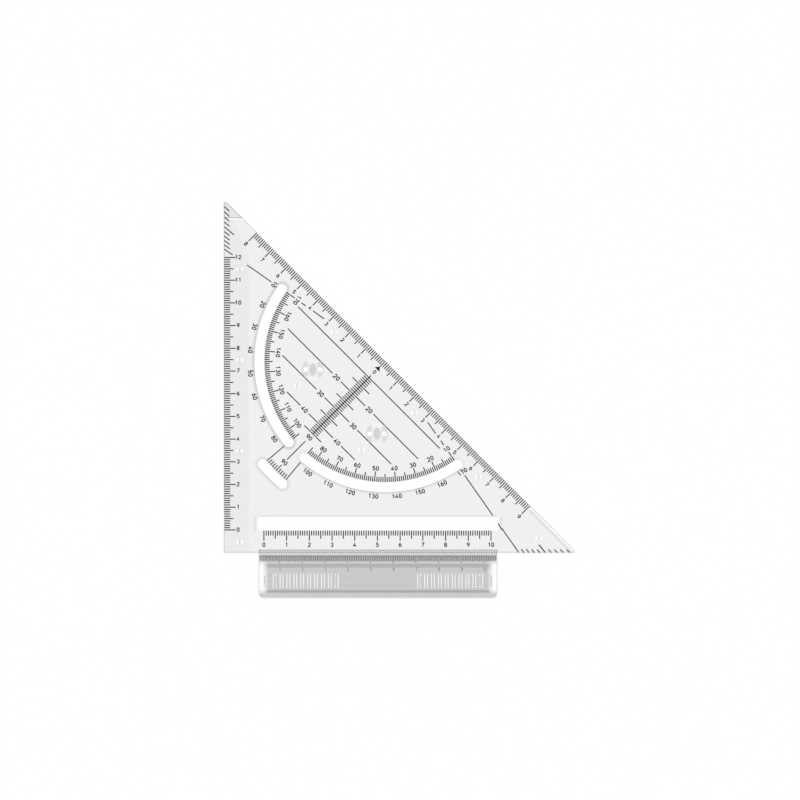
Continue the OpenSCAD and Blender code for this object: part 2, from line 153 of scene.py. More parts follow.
class PlasticSettings(bpy.types.PropertyGroup):
    """Clear plastic of the plate and the guide, with painted light and shade"""

    plate_tint: tone("Plate Tint", "Colour of light through the plate's flat faces", 0.886, 0.887, 0.889)
    # Painted shade: the plate's facet, steep faces and sloping ends are tinted darker by their slope, as
    # light falls on them.
    plate_facet: tone("Plate Facet", "Colour of the gently sloping facet at the left edge", 0.798, 0.799, 0.8)
    plate_side: tone("Plate Side", "Colour of the plate's steep left and right faces", 0.55)
    plate_end: tone("Plate End", "Colour of the plate's faces that slope up or down the sheet", 0.5)
    guide_tint: tone("Guide Tint", "Colour of light through the guide's flat faces", 0.6, 0.602, 0.605)
    # Painted light on the guide's left and right faces, and painted shade on its faces that slope up or down
    # the sheet.
    guide_side: tone("Guide Side", "Colour of the guide's faces that slope to the left or right", 0.88)
    guide_end: tone("Guide End", "Colour of the guide's faces that slope up or down the sheet", 0.3)
    # Painted shade: narrow dark strips along the plate's left and bottom edges.
    plate_rim: tone("Plate Rim", "Colour of the narrow strips along the plate's left and bottom edges", 0.76)
    rim_width: measures("Rim Width", "Widths of those strips at the left and at the bottom", 0.00025, 0.0007)
    guide_band: tone("Guide Band", "Colour of the strip under the guide that carries its scale", 0.31)
    band_zone: measures(
        "Band Zone", "Start and end of that strip from the bottom edge, and its lowest and highest height",
        -0.00155, -0.0034, 0.00355, 0.00365)
    tongue_zone: measures(
        "Tongue Zone", "Start and end of the tongue's clear walls from the bottom edge, and their heights",
        -0.0099, -0.0144, 0.00125, 0.0035)
    # Painted shade: thin dark lines at the guide's two ends.
    guide_rim: tone("Guide Rim", "Colour of the thin lines at the guide's two ends", 0.72)
    # Painted shade on the chamfers along the lip and the outer edge.
    guide_lip: tone("Guide Lip", "Colour of the chamfers along the guide's lip and its outer edge", 0.7)
    lip_zone: measures(
        "Lip Zone", "Where the lip's chamfer begins and the outer chamfer ends, from the bottom edge",
        0.00108, -0.0191)
    # Painted highlights: two light lines along the lip.
    lip_light: tone("Lip Light", "Colour of the two light lines along the guide's lip", 0.84)
    lip_lines: measures(
        "Lip Lines", "Start and end of each light line from the bottom edge",
        0.00066, 0.00106, -0.0006, 0.0002)
    ridge_shade: tone("Ridge Shade", "Colour of the soft shade in front of the guide's ridge", 0.41)
    # The light top of the ridge's slope is painted light.
    ridge_zone: measures(
        "Ridge Zone", "Start and end of that shade from the bottom edge, then of the light top of the slope",
        -0.005, -0.0056, -0.0064, -0.00695)
    # Painted shade on the flat tops and valleys of the finger ribs.
    rib_ground: tone("Rib Ground", "Colour of the flat faces among the finger ribs", 0.36, 0.361, 0.363)
    rib_zone: measures(
        "Rib Zone", "Nearest and farthest rib from the guide's middle, then the ribs' start and end",
        0.0172, 0.0463, -0.0089, -0.0154)
    rib_base: length("Rib Base", "Height that the tops and valleys of the ribs lie over", 0.006, 0, 0.01)
    tongue_frost: number("Tongue Frost", "Roughness of the tongue's walls and sloping ends", 0.6)
    gloss: tone("Gloss", "Colour of reflections seen straight on; at a low angle they stay full", 0.15)
    ior: number("IOR", "Refractive index of the acrylic", 1.49, 1, 2)
    polish: number("Polish", "Roughness of the clean polished faces", 0.02)
    haze: number("Haze", "Roughness where handling has dulled the faces", 0.05)
    flow_scale: number("Flow Scale", "Waves of the moulding flow in a metre", 45, 1, 500)
    flow_height: length("Flow Height", "Height of the moulding flow waves", 0.000004, 0, 0.001, precision=7)
    plate_low: length("Plate Low", "Height of the plate's underside, with the nubs below it", 0.0006, 0, 0.01)
    plate_high: length("Plate High", "Height of the plate's top, with the domes above it", 0.0026, 0, 0.01)
    # Painted highlights on the domes and nubs, also used for the highlight lines at the tips.
    cap_light: tone("Cap Light", "Colour of the light spots on the domes and nubs", 1.0)
    # Painted shade in the middles of the domes and nubs.
    cap_dark: tone("Cap Dark", "Colour of the dark middles of the domes and nubs", 0.51, 0.51, 0.515)
    # Painted shade on the left and right sides of the finger domes.
    dome_lobe: tone("Dome Lobe", "Colour of the left and right sides of the finger domes", 0.62)
    dome_spot: measures(
        "Dome Spot", "Distance from a dome's middle, half width and half height of its light spots",
        0.0029, 0.0006, 0.0007)
    nub_spot: measures(
        "Nub Spot", "Distance from a nub's middle, half width and half height of its light spots",
        0.001, 0.0004, 0.0006)
    slot_shade: tone("Slot Shade", "Colour of the soft shade round the arc slots", 0.6)
    slot_spread: length("Slot Spread", "Width of that shade", 0.0016, 0, 0.01)
    slot_middle: place("Slot Middle", "Middle of the arc slots", 0.0711, 0.08446)
    slot_size: measures(
        "Slot Size", "Radius of the long and of the short arc slots' centre line, and half their width",
        0.0555, 0.0705, 0.0022)
    tip_shade: tone("Tip Shade", "Colour of the soft line along the long edge at the right tip", 0.77)
    tip_zone: measures(
        "Tip Zone", "Start of that line along the long edge, and its nearest and farthest place inward",
        0.0915, 0.0011, 0.0018)
    # Painted light on the straight slot's sloped ends, over their painted shade.
    slot_end: tone("Slot End", "Colour of the straight slot's sloped ends, next to the slot", 0.93)
    slot_box: measures(
        "Slot Box", "Left, bottom, right and top of the straight slot, from the right-angle corner",
        0.0151, 0.0099, 0.1206, 0.0161)
    slot_fade: length("Slot Fade", "Length of the straight slot's sloped ends", 0.0018, 0.0001, 0.01)
    # Painted shade on the thin top tip and a painted shade line along its step, with a painted highlight
    # below it.
    tip_face: tone("Tip Face", "Colour of the thin top tip, past its step", 0.8)
    tip_line: tone("Tip Line", "Colour of the line along the top tip's step", 0.45)
    tip_step: measures(
        "Tip Step", "Start of that line from the right-angle corner, and its thickness",
        0.0018, 0.14735, 0.00045)
    jaw_zone: measures(
        "Jaw Zone", "Depth of the guide's jaw behind the bottom edge, and the height of its top",
        0.0017, 0.00112)
    # Where the painted light at the guide's ends lies.
    end_zone: measures(
        "End Zone", "Inset and width, then start and end, of the light zones at the guide's ends",
        0.0006, 0.0012, -0.0052, -0.0158)


class PrintSettings(bpy.types.PropertyGroup):
    """Black print and its numerals"""

    ink: tone("Ink", "Colour of the print where it is thick", 0.004, 0.004, 0.0045)
    thin_ink: tone("Thin Ink", "Colour of the print where the screen left it thin", 0.012, 0.012, 0.013)
    # The print under the guide is paler and part clear.
    guide_ink: tone("Guide Ink", "Colour of the worn print under the guide where it is thick", 0.56)
    guide_thin_ink: tone("Guide Thin Ink", "Colour of the worn print under the guide where it is thin", 0.7)
    guide_cover: number("Guide Cover", "Part of the light that a face of the guide's worn print stops", 0.4)
    stroke: number("Stroke", "Width of a numeral's stroke against its height", 0.2, 0.05, 0.3)
    edge_height: length("Edge Numerals", "Height of numerals on the leg and the slot", 0.002, 0.001, 0.004)
    long_edge_height: length("Long Edge Numerals", "Height of numerals on the long edge", 0.002, 0.001, 0.004)
    degree_height: length("Degree Numerals", "Height of the protractor's numerals", 0.0021, 0.001, 0.004)
    line_height: length("Line Numerals", "Height of numerals in the parallel lines", 0.0022, 0.001, 0.004)
    guide_height: length("Guide Numerals", "Height of numerals under the guide", 0.0012, 0.0005, 0.004)
    leg_zero: place("Leg Zero", "Middle of the leg's first numeral", 0.0063, 0.0103)
    slot_zero: place("Slot Zero", "Middle of the slot's first numeral", 0.0176, 0.0036)
    guide_one: place("Guide One", "Middle of the guide's first numeral", 0.02475, -0.0073)
    protractor: place("Protractor", "Zero of the protractor's print", 0.070944, 0.084308)
    long_edge_depth: length(
        "Long Edge Depth", "Distance of the long edge's numerals from the edge", 0.0066, 0.004, 0.01)
    inner_radius: length("Inner Radius", "Radius of the numerals inside the arc slots", 0.0472, 0.04, 0.06)
    outer_radius: length("Outer Radius", "Radius of the numerals outside the arc slots", 0.0595, 0.05, 0.07)
    right_angle_radius: length("Right Angle Radius", "Radius of the outer numeral 90", 0.0627, 0.05, 0.07)
    line_side: length(
        "Line Numeral Side", "Distance of the line numerals from the protractor's axis", 0.01015, 0.005, 0.02)


class StageSettings(bpy.types.PropertyGroup):
    """Floor, light and camera"""

    floor_size: length("Floor Size", "Side of the floor", 6, 1, 20)
    floor_white: number("Floor White", "Reflectance of the floor", 0.04)
    floor_glow: number("Floor Glow", "Floor's own brightness to camera, gloss and clear plastic", 0.965)
    lamp_power: number("Lamp Power", "Power of each of the two side lamps", 1.9, 0, 100, unit="POWER")
    lamp_size: length("Lamp Size", "Side of each lamp's square", 0.35, 0.05, 2)
    lamp_distance: length("Lamp Distance", "Distance of the lamps from the plate", 1.2, 0.3, 5)
    lamp_tilt: number(
        "Lamp Tilt", "Angle of the lamps from straight above", math.radians(42), 0, math.radians(89),
        subtype="ANGLE")
    camera_height: length("Camera Height", "Height of the camera over the print", 2, 0.5, 10)
    view_width: length("View Width", "Width of the plane that fills the square picture", 0.35242, 0.1, 2)
    view_shift: bpy.props.FloatProperty(
        name="View Shift", description="Sideways place of the camera", unit="LENGTH", default=0.00025)


def arc(cx, cy, rx, ry, start, end, count=15):
    """Points (cx + rx cos t, cy + ry sin t) on an ellipse, with t from start to end in degrees."""
    t = np.radians(np.linspace(start, end, count))
    return np.column_stack([cx + rx * np.cos(t), cy + ry * np.sin(t)])


def path(*runs):
    """One stroke from several runs of points, each an array or a list of corners, in drawing order."""
    return np.vstack([np.asarray(r, float).reshape(-1, 2) for r in runs])


def ring(cx, cy, rx, ry):
    """A closed ellipse without its repeated last point."""
    return arc(cx, cy, rx, ry, 90, 450, 25)[:-1]


# Centre lines of the numerals in a cell 0.6 wide and 1 high, as (stroke, closed).
DIGITS = {
    "0": [(ring(0.3, 0.5, 0.3, 0.5), True)],
    "1": [(path([0.12, 0.76], [0.36, 1], [0.36, 0]), False)],
    "2": [(path(arc(0.3, 0.72, 0.28, 0.28, 175, -38), [0, 0], [0.6, 0]), False)],
    "3": [(path(arc(0.29, 0.76, 0.24, 0.24, 155, -70), [0.26, 0.54]), False),
          (path([0.26, 0.54], arc(0.29, 0.27, 0.29, 0.27, 75, -155)), False)],
    "4": [(path([0.42, 1], [0, 0.26], [0.62, 0.26]), False), (path([0.44, 0.48], [0.44, 0]), False)],
    "5": [(path([0.54, 1], [0.1, 1], [0.05, 0.54], arc(0.28, 0.31, 0.3, 0.31, 130, -150)), False)],
    "6": [(ring(0.3, 0.3, 0.29, 0.3), True),
          (path([0.42, 1], arc(0.75, 0.3, 0.74, 0.72, 130, 178, 6)), False)],
    "7": [(path([0, 1], [0.6, 1], [0.2, 0]), False)],
    "8": [(ring(0.3, 0.77, 0.23, 0.23), True), (ring(0.3, 0.27, 0.29, 0.27), True)],
    "9": [(ring(0.3, 0.7, 0.29, 0.3), True),
          (path([0.18, 0], arc(-0.15, 0.7, 0.74, 0.72, -50, -2, 6)), False)],
}
CELL_WIDTH = 0.6
CELL_STEP = 0.92
MITRE_LIMIT = 0.35


def ribbon(line, closed, width, low, high):
    """Solid of a flat stroke: the rectangle width by (low..high) carried along a line with mitred corners.

    At each point the side offset is m = (n0 + n1) / (1 + n0.n1), with n0 and n1 the unit normals of the two
    runs that meet there; the corners are line +- m width / 2 at low and high. Quads join neighbouring
    corners, and an open line has a quad at each end. Returns the points and the quads.
    """
    ahead = np.roll(line, -1, axis=0) - line
    behind = line - np.roll(line, 1, axis=0)
    if not closed:
        ahead[-1], behind[0] = behind[-1], ahead[0]
    normals = [np.column_stack([-run[:, 1], run[:, 0]]) / np.linalg.norm(run, axis=1)[:, None]
               for run in (behind, ahead)]
    turn = np.clip(1 + (normals[0] * normals[1]).sum(axis=1), MITRE_LIMIT, None)
    side = (normals[0] + normals[1]) / turn[:, None] * width / 2
    count = len(line)
    corners = np.zeros((count, 4, 3))
    corners[:, [0, 3], :2] = (line + side)[:, None]
    corners[:, [1, 2], :2] = (line - side)[:, None]
    corners[:, :2, 2] = low
    corners[:, 2:, 2] = high
    here = np.arange(count if closed else count - 1)
    there = (here + 1) % count
    k = np.arange(4)
    after = (k + 1) % 4
    quads = np.stack([here[:, None] * 4 + k, here[:, None] * 4 + after,
                      there[:, None] * 4 + after, there[:, None] * 4 + k], axis=-1).reshape(-1, 4)
    if not closed:
        quads = np.vstack([quads, [3, 2, 1, 0], (count - 1) * 4 + k])
    return corners.reshape(-1, 3), quads


def numeral(text, height, stroke, z, middle, turn):
    """Solids of a number about its middle, turned by turn radians, with its digits a cell step apart."""
    thick = stroke * height
    total = CELL_STEP * (len(text) - 1) + CELL_WIDTH
    rotate = np.array([[math.cos(turn), math.sin(turn)], [-math.sin(turn), math.cos(turn)]])
    solids = []
    for i, digit in enumerate(text):
        for line, closed in DIGITS[digit]:
            flat = (line + [i * CELL_STEP - total / 2, -0.5]) * (height - thick)
            solids.append(ribbon(flat @ rotate + middle, closed, thick, *z))
    return solids


def printed_numbers(name, body, height, numbers):
    """One mesh of all the given numbers that rides on a body and is finished as print.

    Each number is given as its value, its middle and its turn in radians.
    """
    stroke = bpy.context.scene.triangle_print.stroke
    solids = [solid for value, middle, turn in numbers
              for solid in numeral(str(value), height, stroke, PRINT_HEIGHTS[body], middle, turn)]
    starts = np.cumsum([0] + [len(points) for points, _ in solids[:-1]])
    points = np.vstack([points for points, _ in solids])
    quads = np.vstack([quads + start for (_, quads), start in zip(solids, starts)])
    mesh = bpy.data.meshes.new(name)
    mesh.from_pydata(points.tolist(), [], quads.tolist())
    mesh.validate()
    mesh.materials.append(screen_print(body))
    piece = bpy.data.objects.new(name, mesh)
    bpy.context.scene.collection.objects.link(piece)
    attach(piece, body)


def wired(tree, node, inputs):
    """A new node with its inputs, given as (socket, value), linked or set, a column right of its sources."""
    inputs = list(inputs)
    sources = [value.node.location.x for _, value in inputs if isinstance(value, bpy.types.NodeSocket)]
    column = max(sources, default=-COLUMN) + COLUMN
    node.location = (column, -ROW * sum(other.location.x == column for other in tree.nodes))
    for socket, value in inputs:
        if isinstance(value, bpy.types.NodeSocket):
            tree.links.new(value, socket)
        else:
            socket.default_value = value
    return node


def add(tree, kind, group=None, **inputs):
    """A new node of a kind, with its inputs linked or set by name, where an underscore stands for a space."""
    made = tree.nodes.new(kind)
    if group:
        made.node_tree = group
    return wired(tree, made, [(made.inputs[key.replace("_", " ")], value) for key, value in inputs.items()])


def grouped(tree, group, **inputs):
    """Outputs of a new node that holds a node group, with its inputs linked or set."""
    return add(tree, "ShaderNodeGroup", group, **inputs).outputs


def calculated(tree, operation, *values):
    """Output of a new Math node, or of a Vector Math node where a value is a vector."""
    vector = any(isinstance(v, (tuple, bpy.types.NodeSocketVector)) for v in values)
    made = tree.nodes.new("ShaderNodeVectorMath" if vector else "ShaderNodeMath")
    made.operation = operation
    sockets = [made.inputs[0], made.inputs["Scale"]] if operation == "SCALE" else made.inputs
    wired(tree, made, zip(sockets, values))
    return made.outputs["Value"] if operation in ("DOT_PRODUCT", "LENGTH") else made.outputs[0]


def mixed(tree, share, first, second):
    """The first colour turning into the second as the share goes from 0 to 1."""
    made = tree.nodes.new("ShaderNodeMix")
    made.data_type = "RGBA"
    sockets = {socket.identifier: socket for socket in (*made.inputs, *made.outputs)}
    wired(tree, made, [(sockets["Factor_Float"], share), (sockets["A_Color"], first),
                       (sockets["B_Color"], second)])
    return sockets["Result_Color"]


def mapped(tree, value, start, end, first=0.0, last=1.0):
    """A result that goes from first to last as the value goes from start to end, and is held beyond them."""
    return add(tree, "ShaderNodeMapRange", Value=value, From_Min=start, From_Max=end, To_Min=first,
               To_Max=last).outputs["Result"]


def split(tree, vector):
    """X, Y and Z of a vector."""
    return add(tree, "ShaderNodeSeparateXYZ", Vector=vector).outputs


def emptied(block):
    """Node tree of a new material or world, with no nodes in it."""
    block.use_nodes = True
    block.node_tree.nodes.clear()
    return block.node_tree


def new_group(name, inputs, outputs):
    """An empty shader node group with sockets given as label: kind, and the outputs of its input node."""
    group = bpy.data.node_groups.new(name, "ShaderNodeTree")
    for way, sockets in (("INPUT", inputs), ("OUTPUT", outputs)):
        for label, kind in sockets.items():
            group.interface.new_socket(label, in_out=way, socket_type="NodeSocket" + kind)
    return group, add(group, "NodeGroupInput").outputs


def moulding_group():
    """Shared roughness, flow waves and painted light and shade of a clear moulding.

    Tint: the flat colour, mixed with the facet colour where the object's normal leans a little to the left,
    with the side colour by |nx| and with the end colour by |ny|: light and shade painted by slope.
    Roughness: from polish to haze with smeared noise. Flow: the height of the moulding's flow waves.
    """
    name = "moulding_finish"
    if name in bpy.data.node_groups:
        return bpy.data.node_groups[name]
    group, given = new_group(
        name, {"Vector": "Vector", "Normal": "Vector", "Flat": "Color", "Facet": "Color", "Side": "Color",
               "End": "Color", "Flow Scale": "Float", "Polish": "Float", "Haze": "Float"},
        {"Tint": "Color", "Roughness": "Float", "Flow": "Float"})
    lean = split(group, given["Normal"])
    slope = split(group, calculated(group, "ABSOLUTE", given["Normal"]))
    tint = given["Flat"]
    for axis, label, slopes in ((lean["X"], "Facet", FACET_LEAN), (slope["X"], "Side", STEEP_SLOPE),
                                (slope["Y"], "End", STEEP_SLOPE)):
        tint = mixed(group, mapped(group, axis, *slopes), tint, given[label])
    flow = add(group, "ShaderNodeTexNoise", Vector=given["Vector"], Scale=given["Flow Scale"], Detail=2.0,
               Roughness=0.4)
    smear = add(group, "ShaderNodeTexNoise", Vector=given["Vector"], Scale=60.0, Detail=6.0, Roughness=0.65,
                Distortion=0.8)
    dulled = mapped(group, smear.outputs["Fac"], *SMEAR_PART, given["Polish"], given["Haze"])
    add(group, "NodeGroupOutput", Tint=tint, Roughness=dulled, Flow=flow.outputs["Fac"])
    return group


def zone_group():
    """Share of a box in object space, 1 inside it and falling to 0 over a margin round it.

    Mask = product over x, y and z of clamp(1 + steep min(v - low, high - v)), with steep = 1 / margin.
    """
    name = "zone_mask"
    if name in bpy.data.node_groups:
        return bpy.data.node_groups[name]
    group, given = new_group(name, {"Vector": "Vector", "Low": "Vector", "High": "Vector", "Steep": "Float"},
                             {"Mask": "Float"})
    over = calculated(group, "SUBTRACT", given["Vector"], given["Low"])
    under = calculated(group, "SUBTRACT", given["High"], given["Vector"])
    inside = calculated(group, "MINIMUM", over, under)
    inside = calculated(group, "SCALE", inside, given["Steep"])
    inside = calculated(group, "ADD", inside, (1, 1, 1))
    inside = calculated(group, "MINIMUM", inside, (1, 1, 1))
    inside = split(group, calculated(group, "MAXIMUM", inside, (0, 0, 0)))
    mask = calculated(group, "MULTIPLY", inside["X"], inside["Y"])
    add(group, "NodeGroupOutput", Mask=calculated(group, "MULTIPLY", mask, inside["Z"]))
    return group


def square_reach(tree, x, y, middle, width, height):
    """Reach of a point in a square spot, 1 at its rim: max(|x - middle| / width, y / height)."""
    across = calculated(tree, "SUBTRACT", x, middle)
    across = calculated(tree, "ABSOLUTE", across)
    across = calculated(tree, "DIVIDE", across, width)
    return calculated(tree, "MAXIMUM", across, calculated(tree, "DIVIDE", y, height))


def cap_group():
    """Highlights and shade of side lights, painted on a ball's cap by its slope, so by the object's normal n.

    Painted highlight spots: max(||nx| - place| / width, |ny| / height) under 1.
    Painted dark middle: (nx / width)^2 + (ny / height)^2 under 1.
    Lobes of painted shade: |nx| past the lobe's start and |ny| short of its end. The ends over and
    under the middle are painted light. Elsewhere a cap has its own plain colour, and outside the caps the
    given colour is kept.
    """
    name = "cap_marks"
    if name in bpy.data.node_groups:
        return bpy.data.node_groups[name]
    group, given = new_group(
        name, {"Tint": "Color", "Normal": "Vector", "Cap": "Float", "Plain": "Color", "Lobe": "Color",
               "Ends": "Color", "Dark": "Color", "Light": "Color", "Spot Place": "Float",
               "Spot Width": "Float", "Spot Height": "Float", "Middle Width": "Float",
               "Middle Height": "Float"}, {"Tint": "Color"})
    slope = split(group, calculated(group, "ABSOLUTE", given["Normal"]))
    spot = square_reach(group, slope["X"], slope["Y"], given["Spot Place"], given["Spot Width"],
                        given["Spot Height"])
    wide = calculated(group, "DIVIDE", slope["X"], given["Middle Width"])
    tall = calculated(group, "DIVIDE", slope["Y"], given["Middle Height"])
    wide = calculated(group, "MULTIPLY", wide, wide)
    tall = calculated(group, "MULTIPLY", tall, tall)
    middle = calculated(group, "ADD", wide, tall)
    aside = mapped(group, slope["X"], *LOBE_START)
    level = mapped(group, slope["Y"], *LOBE_END, 1.0, 0.0)
    tint = mixed(group, calculated(group, "MAXIMUM", aside, level), given["Ends"], given["Plain"])
    tint = mixed(group, calculated(group, "MULTIPLY", aside, level), tint, given["Lobe"])
    for reach, colour in ((middle, "Dark"), (spot, "Light")):
        tint = mixed(group, mapped(group, reach, *CAP_FADE, 1.0, 0.0), tint, given[colour])
    add(group, "NodeGroupOutput", Tint=mixed(group, given["Cap"], given["Tint"], tint))
    return group


def spots_group():
    """Two square spots of painted highlight, one on each side of a centre, through the whole thickness.

    Mask = clamp(3 - 2 max(||x - cx| - place| / width, |y - cy| / height)).
    """
    name = "spot_pair"
    if name in bpy.data.node_groups:
        return bpy.data.node_groups[name]
    group, given = new_group(
        name, {"Vector": "Vector", "Centre": "Vector", "Place": "Float", "Width": "Float", "Height": "Float"},
        {"Mask": "Float"})
    away = calculated(group, "SUBTRACT", given["Vector"], given["Centre"])
    away = split(group, calculated(group, "ABSOLUTE", away))
    reach = square_reach(group, away["X"], away["Y"], given["Place"], given["Width"], given["Height"])
    add(group, "NodeGroupOutput", Mask=mapped(group, reach, *SPOT_FADE, 1.0, 0.0))
    return group


def shade_group():
    """Soft shade round a slot that follows a circle: 1 at the slot's rim, falling to 0 over a spread.

    With r and a the distance and the angle of a point about the centre, a from the slot's middle heading,
    d = hypot(r - radius, radius max(|a| - half angle, 0)) - half width; Mask = share clamp(1 - d / spread).
    """
    name = "slot_shade"
    if name in bpy.data.node_groups:
        return bpy.data.node_groups[name]
    group, given = new_group(
        name, {"Vector": "Vector", "Centre": "Vector", "Along": "Vector", "Across": "Vector",
               "Half Angle": "Float", "Radius": "Float", "Half Width": "Float", "Spread": "Float",
               "Share": "Float"}, {"Mask": "Float"})
    away = calculated(group, "SUBTRACT", given["Vector"], given["Centre"])
    away = calculated(group, "MULTIPLY", away, (1, 1, 0))
    along = calculated(group, "DOT_PRODUCT", away, given["Along"])
    across = calculated(group, "DOT_PRODUCT", away, given["Across"])
    angle = calculated(group, "ABSOLUTE", calculated(group, "ARCTAN2", across, along))
    past = calculated(group, "SUBTRACT", angle, given["Half Angle"])
    past = calculated(group, "MAXIMUM", past, 0)
    past = calculated(group, "MULTIPLY", past, given["Radius"])
    aside = calculated(group, "SUBTRACT", calculated(group, "LENGTH", away), given["Radius"])
    reach = add(group, "ShaderNodeCombineXYZ", X=past, Y=aside)
    depth = calculated(group, "LENGTH", reach.outputs["Vector"])
    depth = calculated(group, "SUBTRACT", depth, given["Half Width"])
    add(group, "NodeGroupOutput", Mask=mapped(group, depth, 0.0, given["Spread"], given["Share"], 0.0))
    return group


def span(x=EVERYWHERE, y=EVERYWHERE, z=EVERYWHERE):
    """Low and high corner of a box, from its range on each axis."""
    return tuple(zip(x, y, z))


def zone(tree, vector, box, steep):
    """Mask of a box, given as its low and high corner, with a margin of that steepness."""
    low, high = box
    return grouped(tree, zone_group(), Vector=vector, Low=low, High=high, Steep=steep)["Mask"]


def cap_tips(node, height):
    """Middles on the sheet of a node's caps whose tips lie at a height, one for each cluster of vertices."""
    vertices = frame["nodes"][node].data.vertices
    points = np.empty(3 * len(vertices))
    vertices.foreach_get("co", points)
    points = points.reshape(-1, 3)
    tips = []
    for spot in points[np.abs(points[:, 2] - height) < HAIR, :2]:
        if all(np.linalg.norm(spot - tip) > CAP_GAP for tip in tips):
            tips.append(spot)
    return tips


def unmarked(tree, where, value):
    """Nothing of its own: the value as it is."""
    return value


def clear_plastic(name, colours, ground=unmarked, marks=unmarked, frost=unmarked):
    """Clear acrylic: a transmitting Principled shader with roughness, flow waves and painted light and shade.

    The colours are those of flat, facet, side and end faces, the last three painting light and shade by
    slope.
    ground, marks and frost each take the tree, the coordinates and a value, and add the moulding's zones to
    the flat colour, the tint and the roughness; most zones of colour are painted light and shade.
    """
    flat, facet, side, end = colours
    settings = bpy.context.scene.triangle_plastic
    material = bpy.data.materials.new(name)
    tree = emptied(material)
    where = add(tree, "ShaderNodeTexCoord").outputs
    # The group's tint carries the light and shade painted by slope.
    finish_and_shade = grouped(tree, moulding_group(), Vector=where["Object"], Normal=where["Normal"],
                     Flat=ground(tree, where, flat), Facet=facet, Side=side, End=end,
                     Flow_Scale=settings.flow_scale, Polish=settings.polish, Haze=settings.haze)
    bump = add(tree, "ShaderNodeBump", Strength=1.0, Distance=settings.flow_height, Height=finish_and_shade["Flow"])
    shader = add(tree, "ShaderNodeBsdfPrincipled", Base_Color=marks(tree, where, finish_and_shade["Tint"]),
                 IOR=settings.ior, Transmission_Weight=1.0, Specular_Tint=settings.gloss,
                 Roughness=frost(tree, where, finish_and_shade["Roughness"]), Normal=bump.outputs["Normal"])
    add(tree, "ShaderNodeOutputMaterial", Surface=shader.outputs["BSDF"])
    return material


def cap_marks(tree, where, tint):
    """Painted highlights, dark middles and side shade on the finger domes and ink nubs."""
    settings = bpy.context.scene.triangle_plastic
    plain = settings.plate_tint
    for heights, slopes, lobe, ends in (
            ((settings.plate_high + HAIR, FAR), DOME_SLOPES, settings.dome_lobe, settings.cap_light),
            ((-FAR, settings.plate_low - HAIR), NUB_SLOPES, plain, plain)):
        cap = zone(tree, where["Object"], span(z=heights), HARD)
        tint = grouped(tree, cap_group(), Tint=tint, Normal=where["Normal"], Cap=cap, Plain=plain, Lobe=lobe,
                       Ends=ends, Dark=settings.cap_dark, Light=settings.cap_light, **slopes)["Tint"]
    low, high = (corner.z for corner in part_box("triangle_plate"))
    # Painted highlight spots through the sheet beside each dome and nub.
    for height, (aside, width, tall) in ((high, settings.dome_spot), (low, settings.nub_spot)):
        for tip in cap_tips("triangle_plate", height):
            pair = grouped(tree, spots_group(), Vector=where["Object"], Centre=(*tip, 0), Place=aside,
                           Width=width, Height=tall)
            tint = mixed(tree, pair["Mask"], tint, settings.cap_light)
    return tint


def slot_marks(tree, where, tint):
    """Painted shade round the arc slots; painted light on the straight slot's sloped ends, more towards it.
    """
    settings = bpy.context.scene.triangle_plastic
    middle = CORNER + settings.slot_middle
    half_width = settings.slot_size[2]
    for angle, half, kind, share in ARC_SLOTS:
        turn = heading(angle)
        along = (math.cos(turn), math.sin(turn), 0)
        shade = grouped(tree, shade_group(), Vector=where["Object"], Centre=(*middle, 0), Along=along,
                        Across=(-along[1], along[0], 0), Half_Angle=math.radians(half),
                        Radius=settings.slot_size[kind], Half_Width=half_width, Spread=settings.slot_spread,
                        Share=share)
        tint = mixed(tree, shade["Mask"], tint, settings.slot_shade)
    # The sheet is stretched across the slot, so that the margin is wide at the slot's ends only.
    stretch = 20
    # Painted light on the straight slot's sloped ends.
    left, bottom, right, top = np.tile(CORNER, 2) + settings.slot_box
    stretched = calculated(tree, "MULTIPLY", where["Object"], (1, stretch, stretch))
    box = span((left, right), (stretch * bottom, stretch * top))
    return mixed(tree, zone(tree, stretched, box, 1 / settings.slot_fade), tint, settings.slot_end)


def edge_marks(tree, where, tint):
    """Painted light and shade: lines at the right tip, the top tip and its step, and rims at the left and
    bottom.
    """
    settings = bpy.context.scene.triangle_plastic
    sheet = where["Object"]
    along, edge = middle = CORNER + settings.slot_middle
    start, near, far = settings.tip_zone
    # Turned about the arc slots' middle, which lies on it, the long edge runs along x.
    turned = add(tree, "ShaderNodeVectorRotate", Vector=sheet, Center=(*middle, 0), Axis=(0, 0, 1),
                 Angle=-SLANT).outputs["Vector"]
    left, step, thick = settings.tip_step
    left, step = CORNER + (left, step)
    rim_left, rim_bottom = CORNER + settings.rim_width
    for vector, box, steep, colour in (
            # Painted shade line along the long edge at the right tip, and a painted highlight line at the
            # edge itself.
            (turned, span((along + start, FAR), (edge - far, edge - near)), BLURRED, settings.tip_shade),
            (turned, span((along + start, FAR), (edge - near / 2, FAR)), BLURRED, settings.cap_light),
            # Painted shade on the top tip and along its step, with a painted highlight line below the step.
            (sheet, span(y=(step + thick, FAR)), CRISP, settings.tip_face),
            (sheet, span((left, FAR), (step, step + thick)), CRISP, settings.tip_line),
            (sheet, span((left, FAR), (step - thick, step)), CRISP, settings.cap_light),
            # Painted shade rims along the left and bottom edges.
            (sheet, span(x=(-FAR, rim_left)), CRISP, settings.plate_rim),
            (sheet, span(y=(-FAR, rim_bottom)), CRISP, settings.plate_rim)):
        tint = mixed(tree, zone(tree, vector, box, steep), tint, colour)
    return tint


def plate_marks(tree, where, tint):
    """The plate's painted light and shade: that of its caps, of its slots and of its edges."""
    for marks in (cap_marks, slot_marks, edge_marks):
        tint = marks(tree, where, tint)
    return tint


